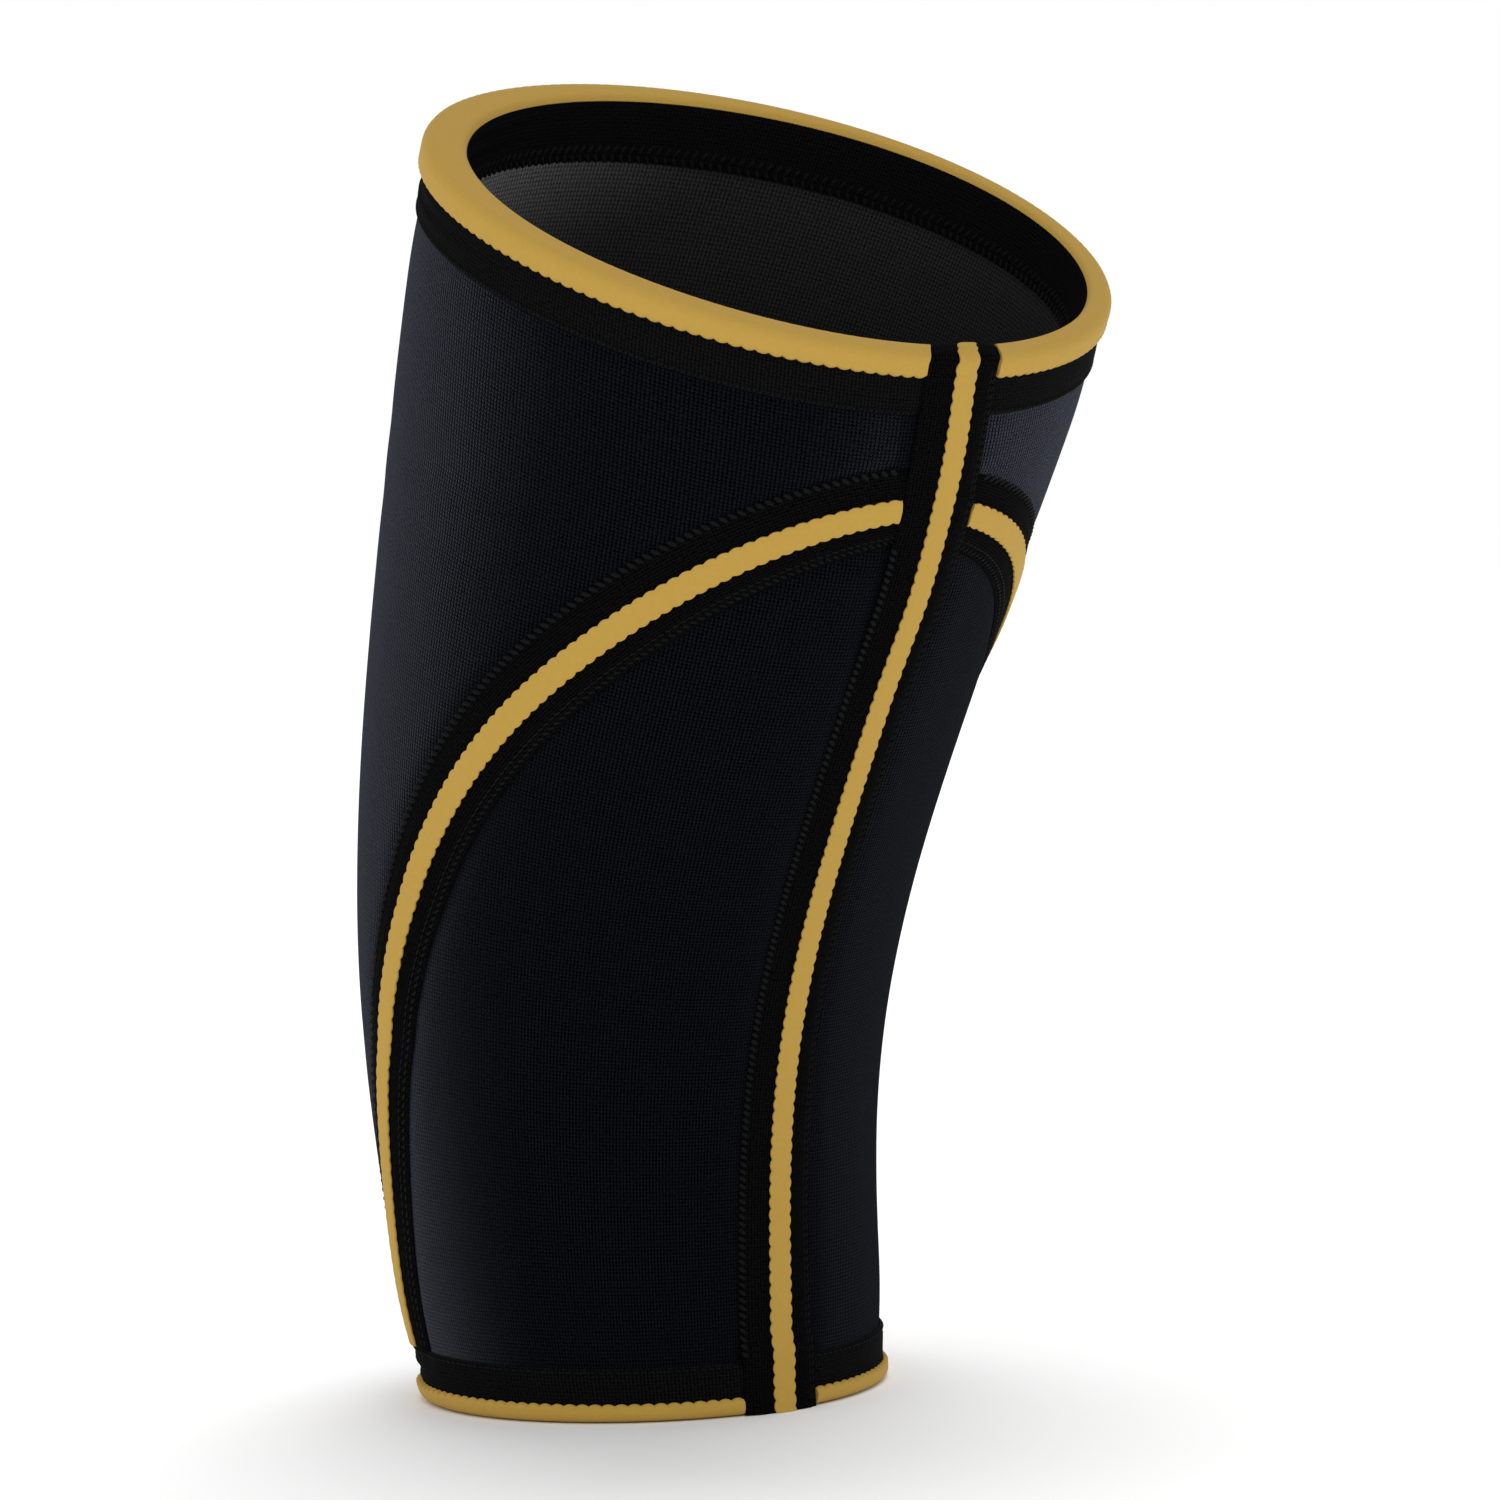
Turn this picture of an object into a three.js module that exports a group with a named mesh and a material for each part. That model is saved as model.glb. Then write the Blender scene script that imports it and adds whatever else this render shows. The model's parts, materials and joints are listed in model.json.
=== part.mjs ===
import * as THREE from "three";

// Knee sleeve: one leg's tube of foam with knitted cloth on both faces, bent a
// little at the knee. It stands on its calf rim, +Z up, with the front of the
// knee towards -Y and the back seam towards +Y. Millimetres.

// Leg form.
const sleeve_length = 300;        // along the middle of the leg, rim to rim
const calf_width = 118.2;         // side to side at the calf rim, over the trim
const calf_depth = 112.8;         // front to back at the calf rim, over the trim
const thigh_width = 172.8;        // side to side at the thigh rim
const thigh_depth = 157.8;        // front to back at the thigh rim
const front_fullness = 0.048;     // how much wider the front half is than the back
const calf_lean_deg = -12.5;      // the calf end leans to the front
const knee_bend_deg = 38;         // the turn of the leg line from calf to thigh
const thigh_rim_tilt_deg = 29;    // the thigh rim slopes down to the back

// Wall.
const foam_thickness = 7;         // between the rims
const rim_foam_thickness = 4.2;   // squeezed by the bindings at both rims
const rim_thick_side = 0.25;      // share by which the rim foam is thicker at one side
const rim_thick_turn_deg = -130;  // where that side is, from the back seam
const draw_reach = 17;            // how far the hems draw the foam in
const gap = 0.3;                  // clearance between pieces that are sewn together
const panel_gap = 0.45;           // between the foam panels along the arch seam

// Cloth.
const tape_thickness = 1;
const trim_thickness = 1;
const stripe_thickness = 0.8;
const rim_rows = [6, 14];         // heights of the foam's short rows beside a rim
const rim_corner = 0.3;           // inner corner of the folded binding

// Seam tapes and stripes.
const arch_tape_width = 21.5;
const arch_stripe_width = 6.5;
const back_tape_width = 21.5;
const back_stripe_width = 6.2;

// Bindings and trims, as heights of their legs from the rim.
const thigh_binding_outer = 17;
const thigh_binding_inner = 16;
const thigh_trim_height = 6.8;
const calf_binding_outer = 14;
const calf_binding_inner = 13;
const calf_trim_height = 5;

// Arch seam: how high its top stands, how far its ends reach round the leg.
const arch_height = 258;
const arch_reach_deg = 108;
const arch_shift_deg = -2.7;      // its top sits a little beside the back seam
const arch_shoulder = 1.8;        // rounder top with a higher number
const arch_foot = 1.58;           // steeper legs with a higher number

// Sections up the leg at even steps. growth runs from the calf sizes (0) to
// the thigh sizes (1), bend is a share of knee_bend_deg, tilt a share of
// thigh_rim_tilt_deg, drift turns the section about the leg.
const sections = [
  { growth: 0, bend: 0, tilt: 0, drift_deg: -4.8 },
  { growth: 0.159, bend: 0.272, tilt: 0.172, drift_deg: -0.9 },
  { growth: 0.366, bend: 0.677, tilt: 0.421, drift_deg: 1.3 },
  { growth: 0.591, bend: 0.936, tilt: 0.729, drift_deg: 2.2 },
  { growth: 0.798, bend: 0.979, tilt: 0.859, drift_deg: 2.5 },
  { growth: 1, bend: 1, tilt: 1, drift_deg: -1.6 },
];

const rad = THREE.MathUtils.degToRad;
const layer = gap + tape_thickness;
const rim_stack = layer + gap + trim_thickness;

const shape_line = new THREE.CatmullRomCurve3(
  sections.map((row) => new THREE.Vector3(row.growth, row.bend, row.tilt)), false, "catmullrom");
const drift_line = new THREE.CatmullRomCurve3(
  sections.map((row) => new THREE.Vector3(row.drift_deg, 0, 0)), false, "catmullrom");

function leg_direction(share) {
  return rad(calf_lean_deg + knee_bend_deg * shape_line.getPoint(share).y);
}

// The middle line of the leg, walked up in short steps.
function walk_leg_line(steps) {
  const line = [{ y: 0, z: 0 }];
  for (let i = 0; i < steps; i += 1) {
    const angle = leg_direction((i + 0.5) / steps);
    const last = line[i];
    const step = sleeve_length / steps;
    line.push({ y: last.y + step * Math.sin(angle), z: last.z + step * Math.cos(angle) });
  }
  return line;
}
const leg_line = walk_leg_line(150);

function leg_middle(share) {
  const place = share * (leg_line.length - 1);
  const low = Math.min(Math.floor(place), leg_line.length - 2);
  const part = place - low;
  return {
    y: THREE.MathUtils.lerp(leg_line[low].y, leg_line[low + 1].y, part),
    z: THREE.MathUtils.lerp(leg_line[low].z, leg_line[low + 1].z, part),
  };
}

function half_width(share) {
  return THREE.MathUtils.lerp(calf_width, thigh_width, shape_line.getPoint(share).x) / 2;
}

function half_depth(share) {
  return THREE.MathUtils.lerp(calf_depth, thigh_depth, shape_line.getPoint(share).x) / 2;
}

// A point of the section outline, with its outward direction in the section.
function outline_point(turn, share) {
  const angle = turn + rad(drift_line.getPoint(share).x);
  const a = half_width(share);
  const b = half_depth(share);
  const x = -a * Math.sin(angle) * (1 - front_fullness * Math.cos(angle));
  const y = b * Math.cos(angle);
  const along_x = -a * (Math.cos(angle) - front_fullness * Math.cos(2 * angle));
  const along_y = -b * Math.sin(angle);
  const size = Math.hypot(along_x, along_y);
  return { x, y, out_x: along_y / size, out_y: -along_x / size };
}

// The leg surface: turn is the angle from the back seam towards -X, share runs
// from the calf rim to the thigh rim, out is the distance outside the form.
// Past a rim it goes straight on.
function on_leg(turn, share, out) {
  const inside = THREE.MathUtils.clamp(share, 0, 1);
  const past = (share - inside) * sleeve_length;
  const point = outline_point(turn, inside);
  const tilt = rad(thigh_rim_tilt_deg) * shape_line.getPoint(inside).z;
  const middle = leg_middle(inside);
  const across = point.y + out * point.out_y;
  return new THREE.Vector3(
    point.x + out * point.out_x,
    middle.y + across * Math.cos(tilt) + past * Math.sin(tilt),
    middle.z - across * Math.sin(tilt) + past * Math.cos(tilt));
}

// The hems draw the foam in at both rims, so the trims end flush with the form.
function rim_nearness(share) {
  const from_calf = share * sleeve_length / draw_reach;
  const from_thigh = Math.max(1 - share, 0) * sleeve_length / draw_reach;
  return Math.exp(-from_calf * from_calf) + Math.exp(-from_thigh * from_thigh);
}

function foam_depth(turn, share) {
  const side = 1 + rim_thick_side * Math.cos(turn - rad(rim_thick_turn_deg));
  return THREE.MathUtils.lerp(foam_thickness, rim_foam_thickness * side, rim_nearness(share));
}

// A point by its distance out from the foam's outer face. Inside the foam the
// distance is stretched so that -rim_foam_thickness is always its inner face.
function on_wall(turn, share, out) {
  const face = -rim_stack * rim_nearness(share);
  const depth = foam_depth(turn, share);
  if (out >= 0) return on_leg(turn, share, face + out);
  if (out < -rim_foam_thickness) return on_leg(turn, share, face - depth + out + rim_foam_thickness);
  return on_leg(turn, share, face + out * depth / rim_foam_thickness);
}

function turn_of(distance, share) {
  return distance / half_width(Math.min(share, 1));
}

// Bends a flat piece onto the leg: place gives each of its points a point in space.
function bend(geometry, place) {
  const position = geometry.attributes.position;
  for (let i = 0; i < position.count; i += 1) {
    const point = place(position.getX(i), position.getY(i), position.getZ(i));
    position.setXYZ(i, point.x, point.y, point.z);
  }
  geometry.computeVertexNormals();
  return geometry;
}

// A point of the arch seam on one side (1 towards -X, -1 towards +X). part runs
// from 0, a given turn away from the back seam, to 1 at the foot on the calf rim.
function arch_point(side, part, from) {
  const shift = rad(arch_shift_deg) * side;
  const reach = rad(arch_reach_deg);
  const first = (Math.abs(from - shift) / reach) ** (arch_shoulder / 2);
  const start = Math.sign(from - shift) * Math.asin(first);
  const angle = THREE.MathUtils.lerp(start, Math.PI / 2, part);
  const round = Math.sign(angle) * reach * Math.abs(Math.sin(angle)) ** (2 / arch_shoulder);
  const share = arch_height / sleeve_length * Math.abs(Math.cos(angle)) ** (2 / arch_foot);
  return { turn: (shift + round) * side, share };
}

const colours = {
  jersey: new THREE.Color(0x14161c),
  tape: new THREE.Color(0x0b0b0c),
  gold: new THREE.Color(0xb58f44),
};

function piece(name, geometry, colour, roughness) {
  const material = new THREE.MeshStandardMaterial({ color: colour, roughness, metalness: 0 });
  material.name = name;
  const mesh = new THREE.Mesh(geometry, material);
  mesh.name = name;
  return mesh;
}

// Heights of a panel's rows over a span, as shares of it. Two short rows lie
// beside each rim, where the hem draws the foam in.
function row_shares(span, middle_rows, to_rim) {
  const room = Math.min(1, span / (3 * rim_rows[1]));
  const near = [0, ...rim_rows.map((height) => height * room / span)];
  const far = to_rim ? [...near].reverse().map((share) => 1 - share) : [1];
  const low = near[near.length - 1];
  const middle = [];
  for (let i = 1; i < middle_rows; i += 1) {
    middle.push(THREE.MathUtils.lerp(low, far[0], i / middle_rows));
  }
  return [...near, ...middle, ...far];
}

// One foam panel over a run of lower and upper edge points of equal number.
function foam_panel(name, lower, upper, middle_rows, to_rim) {
  const columns = lower.length - 1;
  const shares = lower.map((point, i) => {
    const span = (upper[i].share - point.share) * sleeve_length;
    return row_shares(span, middle_rows, to_rim);
  });
  const rows = shares[0].length - 1;
  const flat = new THREE.BoxGeometry(1, 1, 1, columns, rows, 1);
  const place = (x, y, z) => {
    const column = Math.round((x + 0.5) * columns);
    const part = shares[column][Math.round((y + 0.5) * rows)];
    const turn = THREE.MathUtils.lerp(lower[column].turn, upper[column].turn, part);
    const share = THREE.MathUtils.lerp(lower[column].share, upper[column].share, part);
    return on_wall(turn, share, (z - 0.5) * rim_foam_thickness);
  };
  return piece(name, bend(flat, place), colours.jersey, 0.82);
}

const slit = gap / 2;
const arch_points = 17;
const foam_foot = rim_stack / sleeve_length;
const foam_top = 1 - rim_stack / sleeve_length;

// The edge that a panel has along the arch seam, moved off the seam line by half
// the panel gap, outwards (1) or inwards (-1).
function arch_edge(side, off, points) {
  const edge = [];
  for (let i = 0; i <= points; i += 1) {
    const point = arch_point(side, i / arch_points, 0);
    const move = turn_of(panel_gap / 2, point.share) * off;
    const from_seam = turn_of(slit, point.share);
    edge.push({
      turn: side * Math.max(from_seam, side * point.turn + (i === 0 ? 0 : move)),
      share: Math.max(foam_foot, point.share + off * panel_gap / 2 / sleeve_length),
    });
  }
  return edge;
}


// The front panel wraps the whole thigh above the arch and narrows to the shin.
function front_panel() {
  const right = arch_edge(1, 1, arch_points);
  const left = arch_edge(-1, 1, arch_points);
  left.forEach((point) => { point.turn += 2 * Math.PI; });
  left.reverse();
  const shin_columns = 17;
  const shin = [];
  for (let i = 1; i < shin_columns; i += 1) {
    const part = i / shin_columns;
    shin.push({
      turn: THREE.MathUtils.lerp(right[arch_points].turn, left[0].turn, part),
      share: foam_foot,
    });
  }
  const lower = [...right, ...shin, ...left];
  const first = turn_of(slit, foam_top);
  const upper = lower.map((point, i) => {
    const at_seam = i === 0 || i === lower.length - 1;
    const turn = i === 0 ? first : 2 * Math.PI - first;
    return { turn: at_seam ? turn : point.turn, share: foam_top };
  });
  return foam_panel("front_panel", lower, upper, 8, true);
}

// A calf panel fills the space under one side of the arch, beside the back seam.
function calf_panel(name, side) {
  const upper = arch_edge(side, -1, arch_points - 1);
  const lower = upper.map((point, i) => {
    const at_seam = side * turn_of(slit, foam_foot);
    return { turn: i === 0 ? at_seam : point.turn, share: foam_foot };
  });
  if (side < 0) {
    upper.reverse();
    lower.reverse();
  }
  return foam_panel(name, lower, upper, 13, false);
}

// A cloth strip along one side of the arch seam. low and high are the distances
// of its faces from the foam, seam_gap and foot_gap where its two ends stop.
function arch_strip(name, side, width, low, high, seam_gap, colour) {
  const across_steps = Math.max(1, Math.round(width / 7));
  const flat = new THREE.BoxGeometry(1, 1, 1, across_steps, 30, 1);
  const foot = (calf_binding_outer + gap) / sleeve_length;
  const from = turn_of(seam_gap, arch_height / sleeve_length);
  const place = (x, y, z) => {
    const part = 0.96 * (y + 0.5);
    const here = arch_point(side, part, from);
    const ahead = arch_point(side, part + 0.01, from);
    const behind = arch_point(side, part - 0.01, from);
    const scale = half_width(here.share);
    const along_turn = (ahead.turn - behind.turn) * scale;
    const along_up = (ahead.share - behind.share) * sleeve_length;
    const size = Math.hypot(along_turn, along_up);
    const across = -x * width;
    const turn = here.turn - across * along_up / size / scale;
    const share = here.share + across * along_turn / size / sleeve_length;
    const seam = turn_of(seam_gap, share);
    const kept = side * Math.max(side * turn, seam);
    return on_wall(kept, Math.max(share, foot), z > 0 ? high : low);
  };
  const geometry = bend(flat, place);
  return piece(name, geometry, colour, 0.75);
}

// Bends a long strip onto the leg. rows holds the strip's section from end to
// end: for each row a point of its under face and one of its over face, as the
// distance out from the foam and the distance in from the rim.
function section_strip(name, rows, around_steps, place_turn, place_share, colour) {
  const flat = new THREE.BoxGeometry(1, 1, 1, around_steps, rows.length - 1, 1);
  const place = (x, y, z) => {
    const row = rows[Math.round((y + 0.5) * (rows.length - 1))];
    const point = z > 0 ? row.over : row.under;
    const share = place_share(point.y);
    return on_wall(place_turn(x, share), share, point.x);
  };
  return piece(name, bend(flat, place), colour, 0.75);
}

function leg_rows(low, thickness, from, to, steps) {
  const rows = [];
  for (let i = 0; i <= steps; i += 1) {
    const y = THREE.MathUtils.lerp(from, to, i / steps);
    rows.push({ under: { x: low, y }, over: { x: low + thickness, y } });
  }
  return rows;
}

// The fold of a layer over a rim's outer corner, from upright to flat.
const corner_y = rim_stack - gap + rim_corner;

function corner_rows(low, thickness, steps) {
  const rows = [];
  for (let i = 1; i <= steps; i += 1) {
    const angle = Math.PI / 2 * i / steps;
    const at = (radius) => ({
      x: gap - rim_corner + radius * Math.cos(angle),
      y: corner_y - radius * Math.sin(angle),
    });
    const radius = rim_corner + low - gap;
    rows.push({ under: at(radius), over: at(radius + thickness) });
  }
  return rows;
}

// The same rows seen from the inner face of the wall.
function mirrored(rows) {
  const flip = (point) => ({ x: -rim_foam_thickness - point.x, y: point.y });
  return rows.map((row) => ({ under: flip(row.under), over: flip(row.over) })).reverse();
}

// Section of a hem binding: cloth folded over the rim, down both faces.
function binding_rows(outer_leg, inner_leg) {
  return [
    ...leg_rows(gap, tape_thickness, outer_leg, corner_y, 3),
    ...corner_rows(gap, tape_thickness, 1),
    ...mirrored(corner_rows(gap, tape_thickness, 1)),
    ...mirrored(leg_rows(gap, tape_thickness, inner_leg, corner_y, 2)),
  ];
}

// A layer that ends at the inner edge of the rim.
function top_end(low, thickness) {
  const x = -rim_foam_thickness - layer;
  const y = corner_y - rim_corner - low + gap;
  return { under: { x, y }, over: { x: x + thickness / 2, y: y - thickness } };
}

// Section of the gold trim: over the top of the binding, down its outer leg.
function trim_rows(height) {
  const low = layer + gap;
  return [
    ...leg_rows(low, trim_thickness, height, corner_y, 1),
    ...corner_rows(low, trim_thickness, 3),
    top_end(low, trim_thickness),
  ];
}

// Wraps a section round a rim, from one side of the back seam to the other.
function rim_band(name, rows, at_thigh, seam_gap, colour) {
  const place_share = (y) => (at_thigh ? 1 - y / sleeve_length : y / sleeve_length);
  const place_turn = (x, share) => {
    const part = at_thigh ? x + 0.5 : 0.5 - x;
    const start = turn_of(seam_gap, share);
    return THREE.MathUtils.lerp(start, 2 * Math.PI - start, part);
  };
  return section_strip(name, rows, 44, place_turn, place_share, colour);
}

// Where the back tape climbs over the calf binding, and over the arch tapes and
// the thigh binding.
const climb = 8;
const calf_climb = calf_binding_outer + 1;
const arch_climb = arch_height - arch_tape_width / 2 - 10 - climb;

function lift_over_layers(height) {
  const over_calf = 1 - THREE.MathUtils.smoothstep(height, calf_climb, calf_climb + climb);
  const over_arch = THREE.MathUtils.smoothstep(height, arch_climb, arch_climb + climb);
  return gap + layer * Math.max(over_calf, over_arch);
}

function back_heights(top) {
  const heights = [0];
  const stretch = (to, steps) => {
    const from = heights[heights.length - 1];
    for (let i = 1; i <= steps; i += 1) {
      heights.push(THREE.MathUtils.lerp(from, to, i / steps));
    }
  };
  stretch(calf_climb, 2);
  stretch(calf_climb + climb, 3);
  stretch(arch_climb, 16);
  stretch(arch_climb + climb, 3);
  stretch(top, 6);
  return heights;
}

// A strip on the back seam runs from the floor up the leg and over the thigh
// rim to its inner edge. base is its distance above the lowest tape.
function back_strip(name, width, base, thickness, colour) {
  const heights = back_heights(sleeve_length - corner_y);
  const low = layer + gap + base;
  const rows = heights.map((height) => {
    const x = lift_over_layers(height) + base;
    const y = sleeve_length - height;
    return { under: { x, y }, over: { x: x + thickness, y } };
  });
  rows.push(...corner_rows(low, thickness, 3), top_end(low, thickness));
  const place_share = (y) => 1 - y / sleeve_length;
  const place_turn = (x, share) => turn_of(x * width, share);
  const steps = Math.max(1, Math.round(width / 6));
  return section_strip(name, rows, steps, place_turn, place_share, colour);
}

const stripe_low = layer + gap;
const beside_tape = back_tape_width / 2 + gap;

const group = new THREE.Group();
group.name = "knee_sleeve";
group.add(front_panel());
group.add(calf_panel("calf_panel_left", -1));
group.add(calf_panel("calf_panel_right", 1));
group.add(arch_strip("arch_tape_left", -1, arch_tape_width, gap, layer, slit, colours.tape));
group.add(arch_strip("arch_tape_right", 1, arch_tape_width, gap, layer, slit, colours.tape));
group.add(arch_strip("arch_stripe_left", -1, arch_stripe_width, stripe_low,
  stripe_low + stripe_thickness, beside_tape, colours.gold));
group.add(arch_strip("arch_stripe_right", 1, arch_stripe_width, stripe_low,
  stripe_low + stripe_thickness, beside_tape, colours.gold));
group.add(rim_band("thigh_binding", binding_rows(thigh_binding_outer, thigh_binding_inner),
  true, slit, colours.tape));
group.add(rim_band("calf_binding", binding_rows(calf_binding_outer, calf_binding_inner),
  false, slit, colours.tape));
group.add(rim_band("thigh_edge_trim", trim_rows(thigh_trim_height), true, beside_tape,
  colours.gold));
group.add(rim_band("calf_edge_trim", trim_rows(calf_trim_height), false, beside_tape,
  colours.gold));
group.add(back_strip("back_seam_tape", back_tape_width, 0, tape_thickness, colours.tape));
group.add(back_strip("back_seam_stripe", back_stripe_width, tape_thickness + gap,
  stripe_thickness, colours.gold));

// Stand it on the floor, centred over the origin.
const box = new THREE.Box3().setFromObject(group);
const centre = box.getCenter(new THREE.Vector3());
group.children.forEach((mesh) => {
  mesh.geometry.translate(-centre.x, -centre.y, -box.min.z);
});

export default group;
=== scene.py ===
import json
import math
import bmesh
import bpy
import numpy as np
from mathutils import Matrix, Vector

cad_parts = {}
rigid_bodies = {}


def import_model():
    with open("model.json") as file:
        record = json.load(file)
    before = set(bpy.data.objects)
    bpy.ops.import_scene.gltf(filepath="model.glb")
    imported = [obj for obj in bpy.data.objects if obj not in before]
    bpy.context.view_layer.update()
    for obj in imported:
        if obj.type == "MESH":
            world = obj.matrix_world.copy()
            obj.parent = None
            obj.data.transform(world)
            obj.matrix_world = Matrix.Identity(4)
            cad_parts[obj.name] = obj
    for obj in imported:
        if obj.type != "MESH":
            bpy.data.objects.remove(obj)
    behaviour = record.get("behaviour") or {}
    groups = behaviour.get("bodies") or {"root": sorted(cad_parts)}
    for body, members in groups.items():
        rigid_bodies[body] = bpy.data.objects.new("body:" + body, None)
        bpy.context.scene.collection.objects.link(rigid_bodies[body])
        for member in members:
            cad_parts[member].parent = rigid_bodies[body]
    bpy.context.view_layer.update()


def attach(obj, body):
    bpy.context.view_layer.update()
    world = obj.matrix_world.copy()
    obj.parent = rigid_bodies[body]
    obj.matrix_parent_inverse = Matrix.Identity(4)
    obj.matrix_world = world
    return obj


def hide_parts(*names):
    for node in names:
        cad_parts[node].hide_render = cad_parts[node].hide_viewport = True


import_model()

# Foam panels
# The sleeve's wall: a front panel and two calf panels of 7 mm foam with knitted
# jersey outside and a ribbed lining inside, butted along an arch and a back seam.

# sizes in mm, angles in degrees
sleeve_length = 300.0
calf_width, calf_depth = 118.2, 112.8
thigh_width, thigh_depth = 172.8, 157.8
front_fullness = 0.048
calf_lean_deg, knee_bend_deg, thigh_rim_tilt_deg = -12.5, 38.0, 29.0
foam_thickness, rim_foam_thickness = 7.0, 4.2
rim_thick_side, rim_thick_turn_deg = 0.45, -105.0
draw_reach, rim_stack = 17.0, 2.6
arch_height, arch_reach_deg, arch_shift_deg = 258.0, 108.0, -2.7
arch_shoulder, arch_foot = 1.8, 1.58
panel_gap, seam_slit = 0.45, 0.15
standing_shift = (0.035, -33.882, 0.0)
middle_radius = 75.0

# growth from calf to thigh, share of the bend, share of the rim tilt and drift
# in degrees, at even steps up the leg
leg_sections = {
    "growth": (0, 0.159, 0.366, 0.591, 0.798, 1),
    "bend": (0, 0.272, 0.677, 0.936, 0.979, 1),
    "tilt": (0, 0.172, 0.421, 0.729, 0.859, 1),
    "drift_deg": (-4.8, -0.9, 1.3, 2.2, 2.5, -1.6),
}


def leg_value(name, share):
    """One column of the leg sections, smooth between its steps."""
    rows = np.array(leg_sections[name], float)
    rows = np.concatenate([[2 * rows[0] - rows[1]], rows, [2 * rows[-1] - rows[-2]]])
    place = np.clip(share, 0, 1) * (len(rows) - 3)
    low = np.minimum(np.floor(place).astype(int), len(rows) - 4)
    t = place - low
    before, start, end, after = rows[low], rows[low + 1], rows[low + 2], rows[low + 3]
    rise, fall = (end - before) / 2, (after - start) / 2
    return (start + rise * t + (3 * (end - start) - 2 * rise - fall) * t ** 2
            + (2 * (start - end) + rise + fall) * t ** 3)


def half_width(share):
    return (calf_width + (thigh_width - calf_width) * leg_value("growth", share)) / 2


line_steps = 150
line_angles = np.radians(
    calf_lean_deg + knee_bend_deg * leg_value("bend", (np.arange(line_steps) + 0.5) / line_steps))
line_y = np.append(0, np.cumsum(np.sin(line_angles))) * sleeve_length / line_steps
line_z = np.append(0, np.cumsum(np.cos(line_angles))) * sleeve_length / line_steps


def on_leg(turn, share, out):
    """Points on the leg form in metres, by the turn from the back seam, the
    share of the height, and the distance out in mm."""
    inside = np.clip(share, 0, 1)
    past = (share - inside) * sleeve_length
    wide = half_width(inside)
    deep = (calf_depth + (thigh_depth - calf_depth) * leg_value("growth", inside)) / 2
    angle = turn + np.radians(leg_value("drift_deg", inside))
    along_x = -wide * (np.cos(angle) - front_fullness * np.cos(2 * angle))
    along_y = -deep * np.sin(angle)
    size = np.hypot(along_x, along_y)
    x = -wide * np.sin(angle) * (1 - front_fullness * np.cos(angle)) + out * along_y / size
    y = deep * np.cos(angle) - out * along_x / size
    tilt = np.radians(thigh_rim_tilt_deg) * leg_value("tilt", inside)
    steps = np.linspace(0, 1, line_steps + 1)
    points = np.stack([
        x,
        np.interp(inside, steps, line_y) + y * np.cos(tilt) + past * np.sin(tilt),
        np.interp(inside, steps, line_z) - y * np.sin(tilt) + past * np.cos(tilt)], -1)
    return (points + standing_shift) / 1000


def arch_curve(side, part):
    """Turn and share of the arch seam, from the back seam (0) to its foot (1).
    side is 1 towards the wearer's right and -1 towards the left."""
    shift = math.radians(arch_shift_deg) * side
    reach = math.radians(arch_reach_deg)
    start = -math.copysign(math.asin((abs(shift) / reach) ** (arch_shoulder / 2)), shift)
    angle = start + (math.pi / 2 - start) * np.asarray(part, float)
    turn = shift + np.sign(angle) * reach * np.abs(np.sin(angle)) ** (2 / arch_shoulder)
    return side * turn, arch_height / sleeve_length * np.abs(np.cos(angle)) ** (2 / arch_foot)


def from_back(turn):
    return (turn + math.pi) % (2 * math.pi) - math.pi


def distance_to_seams(turn, share):
    """Distance in mm to the nearest seam under a tape."""
    wrapped, wide = from_back(turn), half_width(share)
    nearest = np.abs(wrapped) * wide
    for side in (1, -1):
        for seam_turn, seam_share in zip(*arch_curve(side, np.linspace(0, 1, 110))):
            away = np.hypot((wrapped - seam_turn) * wide, (share - seam_share) * sleeve_length)
            nearest = np.minimum(nearest, away)
    return nearest


# relief in mm: foam drawn in beside and under a seam, shallow hollows, and
# stress folds as (place round the leg, height, depth)
drawn_beside, beside_place, beside_reach = 0.75, 9.5, 3.2
drawn_under, under_reach = 0.45, 9.0
long_hollow, short_hollow = 0.22, 0.13
stress_folds = ((-131, 236, 0.5), (-135, 218, 0.35), (-112, 92, 0.4), (-90, 132, 0.3))
fold_slope, fold_reach_up, fold_reach_round = 0.12, 5.5, 32.0
relief_rise = 1.25


def soft_relief(turn, share):
    """How far the wall stands off its plain form, in mm: drawn in by the stitches
    along the tapes, with shallow hollows and a few stress folds."""
    seam = distance_to_seams(turn, share)
    drawn = (drawn_beside * np.exp(-((seam - beside_place) / beside_reach) ** 2)
             + drawn_under * np.exp(-(seam / under_reach) ** 2))
    round_leg, up = from_back(turn) * middle_radius, share * sleeve_length
    hollows = np.sin(round_leg / 31 + up / 47) * np.sin(up / 29 - round_leg / 83)
    hollows = long_hollow * hollows + short_hollow * np.sin(round_leg / 17 - up / 39)
    folds = 0
    for place, height, depth in stress_folds:
        slant = (up - height - fold_slope * (round_leg - place)) / fold_reach_up
        beside = (round_leg - place) / fold_reach_round
        folds = folds + depth * np.exp(-slant ** 2 - beside ** 2)
    return hollows - folds - drawn


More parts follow.
